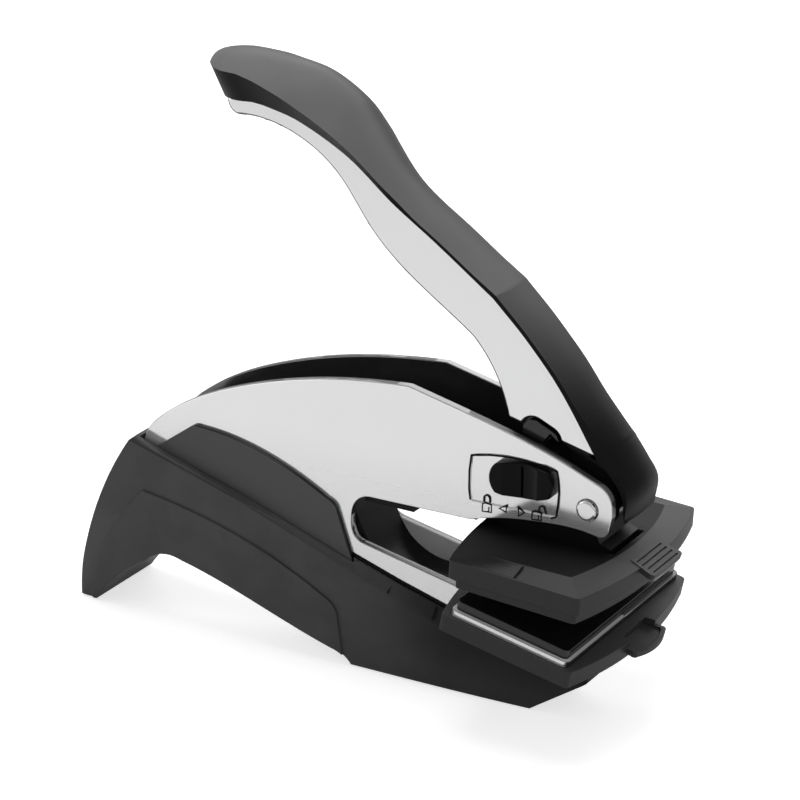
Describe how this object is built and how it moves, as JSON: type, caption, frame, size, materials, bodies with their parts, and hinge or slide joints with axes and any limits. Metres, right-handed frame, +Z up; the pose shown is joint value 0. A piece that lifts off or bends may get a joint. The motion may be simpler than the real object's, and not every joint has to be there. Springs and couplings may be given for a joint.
{
  "type": "seal embosser",
  "caption": "Hand lever seal embosser: bright steel side plates on a charcoal arched base, soft-grip handle, hinged press arm with an upper leaf over a tilted die tray, and a lock slide",
  "frame": {"origin": "On the table, in the middle of the front foot's rubber pad face", "axes": "+X points forward to the dies and finger tabs, +Y to the machine's left, +Z up"},
  "size_m": [0.1527, 0.057, 0.1415],
  "materials": {
    "charcoal": "fine matt moulded, charcoal grey",
    "pad": "matt anti-slip rubber",
    "zinc": "zinc-plated steel",
    "bright_plate": "polished bright-plated steel",
    "black_gloss": "glossy black moulding",
    "satin_black": "satin dark grey moulding",
    "die_black": "smooth black die plate",
    "bronze": "sintered bronze",
    "soft_grip": "soft-touch black coating"
  },
  "bodies": {
    "frame": {"base_screws": "zinc", "base_shell": "charcoal", "bed_block": "black_gloss", "cross_pins": "zinc", "die_backplate": "bright_plate", "die_plate": "die_black", "foot_pad_front": "pad", "foot_pad_rear": "pad", "frame_plate_left": "bright_plate", "frame_plate_right": "bright_plate", "jaw_pin": "zinc", "lower_tray": "satin_black", "pivot_rivet": "bright_plate", "return_spring": "zinc", "side_cover_left": "charcoal", "side_cover_right": "charcoal", "spring_screw": "zinc", "throat_spacer": "black_gloss"},
    "handle": {"lever_channel": "bright_plate", "lever_core": "black_gloss", "hub_bush": "bronze", "press_cam": "zinc", "striker": "black_gloss", "grip": "soft_grip"},
    "jaw": {"press_arm": "black_gloss", "upper_leaf": "satin_black", "counter_die": "satin_black"},
    "lock": {"lock_button": "black_gloss", "lock_bolt": "zinc"}
  },
  "joints": [
    {"name": "handle_hinge", "type": "hinge", "parent": "frame", "child": "handle", "pos_m": [0.0324, 0, 0.0527], "axis": [0, -1, 0], "range_deg": [0, 38], "stiffness_Nm_per_rad": 0.35, "springref_deg": -25.78},
    {"name": "jaw_hinge", "type": "hinge", "parent": "frame", "child": "jaw", "pos_m": [-0.00835, 0, 0.051], "axis": [0, 1, 0], "range_deg": [0, 8.2], "deforming": ["return_spring"]},
    {"name": "lock_slide", "type": "slide", "parent": "frame", "child": "lock", "axis": [-1, 0, 0], "range_m": [0, 0.0036]}
  ],
  "couplings": [
    {"joint": "jaw_hinge", "follows": "handle_hinge", "ratio": 0.21447}
  ]
}
